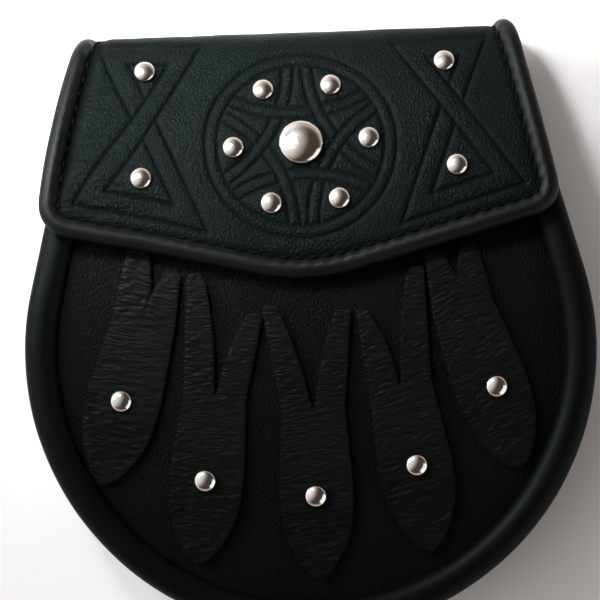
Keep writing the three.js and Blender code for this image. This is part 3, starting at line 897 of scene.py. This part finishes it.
leaf = {
    "length": 56.5,
    "half": 12.3,
    "shoulder": 10.4,
    "thickness": 1.8,
    "lift": 0.45,
    # how far down the body, and how wide it is there, as shares of its length and half width
    "side": (
        (1.0, 0.02), (0.975, 0.2), (0.945, 0.36), (0.88, 0.56), (0.82, 0.72),
        (0.73, 0.87), (0.65, 0.95), (0.48, 1.0), (0.28, 0.94), (0.0, 0.8455),
    ),
    "columns": 40,
    "bodyRows": 112,
    "prongRows": 76,
    "prongEase": 0.8,
    "endDrop": (1.5, 2.5),  # how far a prong's end falls away on its outside and its inside
    "bow": 1.6,  # how far the sides of the notch curve in
    "wrinkle": 0.38,
    "wrinkleFade": (-45.0, 26.0, 0.72),  # from here up to here along the leaf, the wrinkles lose this share
    "edgeCalm": 0.15,  # the share of the wrinkles that is left at the edge, and where they are whole
    "edgeReach": 2.2,
    "edgeRoll": 0.1,
    "rollReach": 0.6,
    "mergeGap": 0.004,
    "seedStep": 3.7,
}
leafRipple = {
    "slow": ((0.05, 0.07), 20.0),  # how fast it changes each way, and what it adds to the leaf's seed
    "broad": ((0.09, 0.34), 0.0),
    "close": ((0.15, 0.66), 9.0),
    "bend": 3.0,  # how far the slow one bends the other two
    "sharp": 2.2,
    "broadShare": 0.55,
    "foldShare": 0.75,
    "level": 0.5,
}
# notch, lean to the left in degrees, then each prong's end, its half width outside and its half width inside
leaves = (
    ((-54.6, 12.4), 17.2, (-8.0, 24.0, 3.4, 4.2), (6.1, 18.4, 1.9, 3.4)),
    ((-32.5, -13.7), 8.5, (-10.1, 40.0, 3.0, 3.1), (10.2, 29.3, 2.8, 2.6)),
    ((-0.1, -19.9), 0.6, (-13.0, 35.6, 2.9, 2.8), (10.7, 34.0, 2.8, 2.6)),
    ((28.9, -13.0), -8.2, (-7.7, 28.4, 1.9, 2.2), (12.0, 37.8, 3.0, 3.0)),
    ((50.9, 11.5), -17.4, (-3.0, 21.5, 2.9, 2.9), (8.4, 20.0, 3.4, 3.2)),
)
leafFlat = []


def leafWrinkles(x, y, seed):
    def ripple(points, kind):
        scale, more = leafRipple[kind]
        return wobble(points, scale, seed + more)

    slow = ripple(np.column_stack((x, y)), "slow")
    bent = np.column_stack((x, y + leafRipple["bend"] * slow))
    fold = 1 - np.abs(ripple(bent, "close")) * leafRipple["sharp"]
    broad = leafRipple["broadShare"] * ripple(bent, "broad")
    return broad + leafRipple["foldShare"] * fold - leafRipple["level"]


# a point of the flat leaf where it lies on the front; edge is how far it is from the leaf's own edge
def leafLay(x, y, notch, lean, seed, edge):
    a = math.radians(lean)
    px = notch[0] + x * math.cos(a) + y * math.sin(a)
    py = notch[1] - x * math.sin(a) + y * math.cos(a)
    low, high, lost = leaf["wrinkleFade"]
    depth = leaf["wrinkle"] * (1 - lost * smoothStep(y, low, high))
    calm = leaf["edgeCalm"] + (1 - leaf["edgeCalm"]) * smoothStep(edge, 0, leaf["edgeReach"])
    ridges = leafWrinkles(x, y, seed) * depth * calm
    rolled = leaf["edgeRoll"] * bell(edge, leaf["rollReach"])
    leafFlat.append(np.column_stack((x, y)))
    z = frontTop(px, py) + leaf["lift"] + leaf["thickness"] + ridges - rolled
    return np.column_stack((px, py, z))


def leafBody(notch, lean, seed):
    downs = [row[0] for row in leaf["side"]][::-1]
    halves = [row[1] for row in leaf["side"]][::-1]

    def place(u, v):
        down = 1 - v
        half = np.interp(down, downs, halves) * leaf["half"]
        x, y = (2 * u - 1) * half, -down * leaf["length"]
        edge = np.minimum(half - np.abs(x), np.hypot(x, y))  # to the nearest side, or to the notch
        return leafLay(x, y, notch, lean, seed, edge)

    return place


def leafProng(notch, lean, seed, prong, sign):
    endX, endY, outside, inside = prong
    shoulder = sign * leaf["shoulder"]
    outerEnd, innerEnd = endX + sign * outside, endX - sign * inside
    outerDrop, innerDrop = leaf["endDrop"]

    def place(u, v):
        share = u if sign > 0 else 1 - u  # from the notch to the outside
        outer = shoulder + (outerEnd - shoulder) * v
        inner = innerEnd * v ** leaf["prongEase"] - sign * leaf["bow"] * np.sin(math.pi * v)
        x = inner + (outer - inner) * share
        fromMiddle = (2 * share - 1) ** 2
        y = v * (endY - np.where(share > 0.5, outerDrop, innerDrop) * fromMiddle)
        edge = np.minimum(share, 1 - share) * np.abs(outer - inner)
        return leafLay(x, y, notch, lean, seed, edge)

    return place


for number, (notch, lean, left, right) in enumerate(leaves, 1):
    seed = leaf["seedStep"] * number
    sheet = moldedGrid(leaf["columns"], leaf["bodyRows"], leafBody(notch, lean, seed))
    for prong, sign in ((left, -1), (right, 1)):
        arm = moldedGrid(leaf["columns"] // 2, leaf["prongRows"], leafProng(notch, lean, seed, prong, sign))
        joinSheet(sheet, arm)
    cutMap(sheet, np.vstack(leafFlat))
    leafFlat.clear()
    bmesh.ops.remove_doubles(sheet, verts=sheet.verts, dist=leaf["mergeGap"])
    node = "leaf_%d" % number
    cutLeaf = shipPiece(
        sheet, node + ".wrinkled", leafLeather, [node], leaf["thickness"]
    )
    cutLeaf.data.materials.append(cutEdge)
    cutLeaf.modifiers["wall"].material_offset_rim = 1
print("five leaves cut")

rivet = {"radius": 3.7, "height": 2.5, "skirt": 0.6, "steps": 40, "rings": 10}
snapCap = {"radius": 7.6, "height": 4.0, "skirt": 0.8, "steps": 64, "rings": 16}
headFoot = {"width": 0.96, "turn": 0.35, "leafGap": 0.1}  # shares of the radius and the skirt, and a gap
ringRivets = {"count": 6, "radius": 22.5, "turn": math.radians(1.5)}
cornerRivets = ((-50.8, 94.0), (-53.2, 58.9), (48.9, 93.2), (51.2, 58.5))
leafRivets = ((-63.6, -13.9), (-37.1, -41.6), (-0.7, -48.4), (33.2, -39.7), (60.9, -14.9))


# a domed head, spun from half of its section
def domedHead(size, seat):
    radius, skirt, rings = size["radius"], size["skirt"], size["rings"]
    outline = [(0.0, 0.0), (radius * headFoot["width"], 0.0), (radius, skirt * headFoot["turn"])]
    for i in range(rings):
        a = math.pi / 2 * i / rings
        outline.append((radius * math.cos(a), skirt + (size["height"] - skirt) * math.sin(a)))
    outline.append((0.0, size["height"]))
    bm = bmesh.new()
    verts = [bm.verts.new((x, 0, z)) for x, z in outline]
    edges = [bm.edges.new(pair) for pair in zip(verts, verts[1:])]
    bmesh.ops.spin(
        bm, geom=verts + edges, cent=(0, 0, 0), axis=(0, 0, 1),
        angle=2 * math.pi, steps=size["steps"], use_merge=True,
    )
    bmesh.ops.remove_doubles(bm, verts=bm.verts, dist=mergeGap)
    bmesh.ops.recalc_face_normals(bm, faces=bm.faces)
    bmesh.ops.transform(bm, matrix=seat, verts=bm.verts)
    return bm


def flapSeat(x, length):
    x, length = np.array([x]), np.array([length])
    place = Vector(bendFlap(x, length, pouch["wall"] / 2 + flapSwell(x, length))[0])
    return Matrix.Translation(place) @ Matrix.Rotation(-length[0] / pouch["upperBend"], 4, "X")


def leafSeat(x, y):
    top = lambda a, b: float(frontTop(np.array(a), np.array(b)))
    slope = Vector((top(x - 0.5, y) - top(x + 0.5, y), top(x, y - 0.5) - top(x, y + 0.5), 1)).normalized()
    turn = Vector((0, 0, 1)).rotation_difference(slope).to_matrix().to_4x4()
    height = top(x, y) + leaf["lift"] + leaf["thickness"] + headFoot["leafGap"]
    return Matrix.Translation((x, y, height)) @ turn


heads = []
for number in range(ringRivets["count"]):
    angle = ringRivets["turn"] + math.tau * number / ringRivets["count"]
    x, along = ringRivets["radius"] * math.cos(angle), ringRivets["radius"] * math.sin(angle)
    heads.append(("rivet_ring_%d" % (number + 1), rivet, flapSeat(x, ringLength + along)))
for number, (x, y) in enumerate(cornerRivets, 1):
    heads.append(("rivet_corner_%d" % number, rivet, flapSeat(x, cutLength(y))))
for number, (x, y) in enumerate(leafRivets, 1):
    heads.append(("rivet_leaf_%d" % number, rivet, leafSeat(x, y)))
heads.append(("snap_cap", snapCap, flapSeat(0.0, ringLength)))
for node, size, seat in heads:
    shipPiece(domedHead(size, seat), node + ".dome", polishedNickel, [node])
bpy.data.objects["snap_post"].data.materials.clear()
bpy.data.objects["snap_post"].data.materials.append(polishedNickel)
print(len(heads), "domed heads set")

gusset = {
    "inset": 5.5,
    "topY": 80.0,
    "tuck": 1.0,  # how far it goes in under each rim
    "sag": 1.6,
    "pucker": ((0.09, 0.05), 6.4, 0.8),
    "columns": 300,
    "rows": 14,
}


def placeGusset(u, v):
    path, out, length = spacedPath(outlinePoints(gusset["inset"], gusset["topY"]), gusset["columns"])
    step = np.rint(u * gusset["columns"]).astype(int)
    low = backRim["middle"] + backRim["halfHeight"] - gusset["tuck"]
    rimUnder = pouch["rimCrest"] - 2 * frontRim["halfHeight"] - fall(path[step][:, 1])
    z = low + (rimUnder + gusset["tuck"] - low) * v
    pucker = wobble(np.column_stack((u * length, z)), *gusset["pucker"])
    inward = (gusset["sag"] + pucker) * np.sin(math.pi * v) - pouch["wall"] / 2
    flat = path[step] - out[step] * inward[:, None]
    return np.column_stack((flat, z))


gussetSheet = moldedGrid(gusset["columns"], gusset["rows"], placeGusset)
bmesh.ops.reverse_faces(gussetSheet, faces=gussetSheet.faces)
shipPiece(gussetSheet, "sideWall", backLeather, ["gusset"], pouch["wall"])

backPanel = {
    "inset": 8.0,
    "z": 7.0,
    "topY": 86.0,
    "lowest": math.radians(-86),
    "columns": 60,
    "rows": 80,
}


def placeBack(u, v):
    y = panelHeight(v, backPanel)
    x = (1 - 2 * u) * halfWidthAt(y, backPanel["inset"])
    return np.column_stack((x, y, np.full_like(x, backPanel["z"])))


shipPiece(
    moldedGrid(backPanel["columns"], backPanel["rows"], placeBack),
    "panelBack", backLeather, ["back_panel"], pouch["wall"],
)

loops = {
    "x": 44.0,
    "bottomY": -2.0,
    "topY": 58.0,
    "width": 20.0,
    "thickness": 1.8,
    "endLength": 11.0,  # the flat ends that are sewn down
    "ramp": 5.0,
    "rampEase": 0.6,
    "seatGap": 0.1,
    "floorGap": 0.4,
    "edgeLift": 0.25,
    "edgeReach": 0.8,
    "columns": 20,
    "rows": 90,
}
loopSeam = {"half": 8.0, "height": 7.5, "low": 2.0, "high": 1.5, "steps": 120, "stitches": 13}
tabSeam = {"half": 54.0, "inset": 4.0, "steps": 60, "stitches": 30}
backStitch = dict(stitch, length=2.6, thick=0.7)


def loopHeight(y):
    seatZ = backPanel["z"] - loops["seatGap"]
    drop = seatZ - loops["thickness"] - loops["floorGap"]
    fromEnd = np.minimum(y - loops["bottomY"], loops["topY"] - y) - loops["endLength"]
    ease = loops["rampEase"]
    return seatZ - loops["thickness"] - drop * smoothStep(fromEnd, -ease, loops["ramp"] + ease)


def loopAt(middle):
    def place(u, v):
        y = loops["bottomY"] + (loops["topY"] - loops["bottomY"]) * v
        x = middle + (0.5 - u) * loops["width"]
        edge = np.minimum(u, 1 - u) * loops["width"]
        return np.column_stack((x, y, loopHeight(y) + loops["edgeLift"] * bell(edge, loops["edgeReach"])))

    return place


def layLoop(x, y):
    return np.column_stack((x, y, loopHeight(y) - stitch["lift"]))


def layTab(x, length):
    return bendFlap(x, length, pouch["wall"] / 2 + stitch["lift"])


backThread = bmesh.new()
for side, node in ((-1, "belt_loop_left"), (1, "belt_loop_right")):
    middle = side * loops["x"]
    strap = moldedGrid(loops["columns"], loops["rows"], loopAt(middle))
    shipPiece(strap, node + ".strap", backLeather, [node], loops["thickness"])
    near, far = middle - loopSeam["half"], middle + loopSeam["half"]
    for low in (loops["bottomY"] + loopSeam["low"], loops["topY"] - loops["endLength"] + loopSeam["high"]):
        high = low + loopSeam["height"]
        corners = [(near, low), (far, low), (far, high), (near, high), (near, low)]
        box = spacedPath(corners, loopSeam["steps"])[0]
        stitchRow(backThread, box, loopSeam["stitches"], layLoop, backStitch)
tabLine = foldEnd + flapCut["tabLength"] - tabSeam["inset"]
tabRow = spacedPath([(-tabSeam["half"], tabLine), (tabSeam["half"], tabLine)], tabSeam["steps"])[0]
stitchRow(backThread, tabRow, tabSeam["stitches"], layTab, backStitch)
shipPiece(backThread, "backStitches", waxedThread, None)
print("side wall, back and loops done")

studio = {
    "floorSize": 3.0,
    "floorDrop": 0.0003,
    "cameraHeight": 1.8,
    "aim": (-0.0028, 0.0104),  # what the middle of the picture looks at
    "roll": math.radians(-2.76),
    "across": 0.1986,  # what the picture spans at the level of the rim
    "level": 0.038,
    "sensor": 36.0,
    "farthest": 10.0,
}
floorLook = {
    "scale": 9.0,
    "detail": 3.0,
    "deep": (0.86, 0.86, 0.86, 1),
    "pale": (0.9, 0.9, 0.9, 1),
    "plain": {"Roughness": 0.8, "Specular IOR Level": 0.2},
}
floorMesh = bmesh.new()
bmesh.ops.create_grid(floorMesh, x_segments=4, y_segments=4, size=studio["floorSize"])
floorData = bpy.data.meshes.new("floor")
floorMesh.to_mesh(floorData)
floorMesh.free()
floorData.transform(Matrix.Translation((0, 0, -studio["floorDrop"])))
floorData.materials.append(fleckedMaterial("paleFloor", floorLook)[0])
floor = bpy.data.objects.new("floor", floorData)
bpy.context.scene.collection.objects.link(floor)

# each lamp: where it stands, what it points at, its size, its power and how wide it spreads
lamps = (
    ("windowLight", (-0.68, 0.38, 0.46), (0.0, 0.0, 0.02), 0.42, 8.0, 180),
    ("sheenLight", (-0.19, 0.31, 0.36), (-0.045, 0.12, 0.035), 0.16, 0.27, 30),
    ("fillLight", (1.7, -1.1, 0.62), (0.0, 0.0, 0.02), 2.2, 18.0, 180),
)
for name, spot, target, size, power, spread in lamps:
    light = bpy.data.lights.new(name, "AREA")
    light.shape = "SQUARE"
    light.size = size
    light.energy = power
    light.spread = math.radians(spread)
    lamp = bpy.data.objects.new(name, light)
    lamp.location = spot
    lamp.rotation_euler = (Vector(target) - Vector(spot)).to_track_quat("-Z", "Y").to_euler()
    bpy.context.scene.collection.objects.link(lamp)

# a room that is bright and cool towards the window, and dark and warm away from it
room = {
    "towards": (-0.8, 0.38, 0.46),
    "edge": (0.26, 0.88),
    "strength": (0.07, 0.95),
    "warm": (0.9, 0.72, 0.6, 1),
    "cool": (0.96, 0.98, 1.0, 1),
    "walls": 0.7,  # pale walls, low all round
    "wallReach": (0.1, 0.5),
}
world = bpy.data.worlds.new("room")
world.use_nodes = True
sky = world.node_tree
backdrop = sky.nodes["Background"]
aim = addNode(sky, "ShaderNodeTexCoord").outputs["Generated"]
towards = addNode(sky, "ShaderNodeVectorMath", {0: aim}, {1: room["towards"]}, operation="DOT_PRODUCT")
glow = mapRange(sky, towards.outputs["Value"], room["edge"], (0.0, 1.0), "SMOOTHSTEP")
strength = mapRange(sky, glow, (0.0, 1.0), room["strength"])
height = addNode(sky, "ShaderNodeSeparateXYZ", {0: aim})
walls = mapRange(sky, height.outputs["Z"], room["wallReach"], (room["walls"], 0.0), "SMOOTHSTEP")
sky.links.new(colourMix(sky, glow, room["warm"], room["cool"]), backdrop.inputs["Color"])
sky.links.new(mathNode(sky, "ADD", strength, walls), backdrop.inputs["Strength"])
bpy.context.scene.world = world
bpy.context.scene.view_settings.view_transform = "Standard"  # keeps the black leather black

cameraData = bpy.data.cameras.new("camera")
cameraData.sensor_width = studio["sensor"]
cameraData.lens = studio["sensor"] * (studio["cameraHeight"] - studio["level"]) / studio["across"]
cameraData.clip_end = studio["farthest"]
camera = bpy.data.objects.new("camera", cameraData)
camera.location = (studio["aim"][0], studio["aim"][1], studio["cameraHeight"])
camera.rotation_euler = (0, 0, studio["roll"])
bpy.context.scene.collection.objects.link(camera)
bpy.context.scene.camera = camera
print("floor, lights and camera placed")
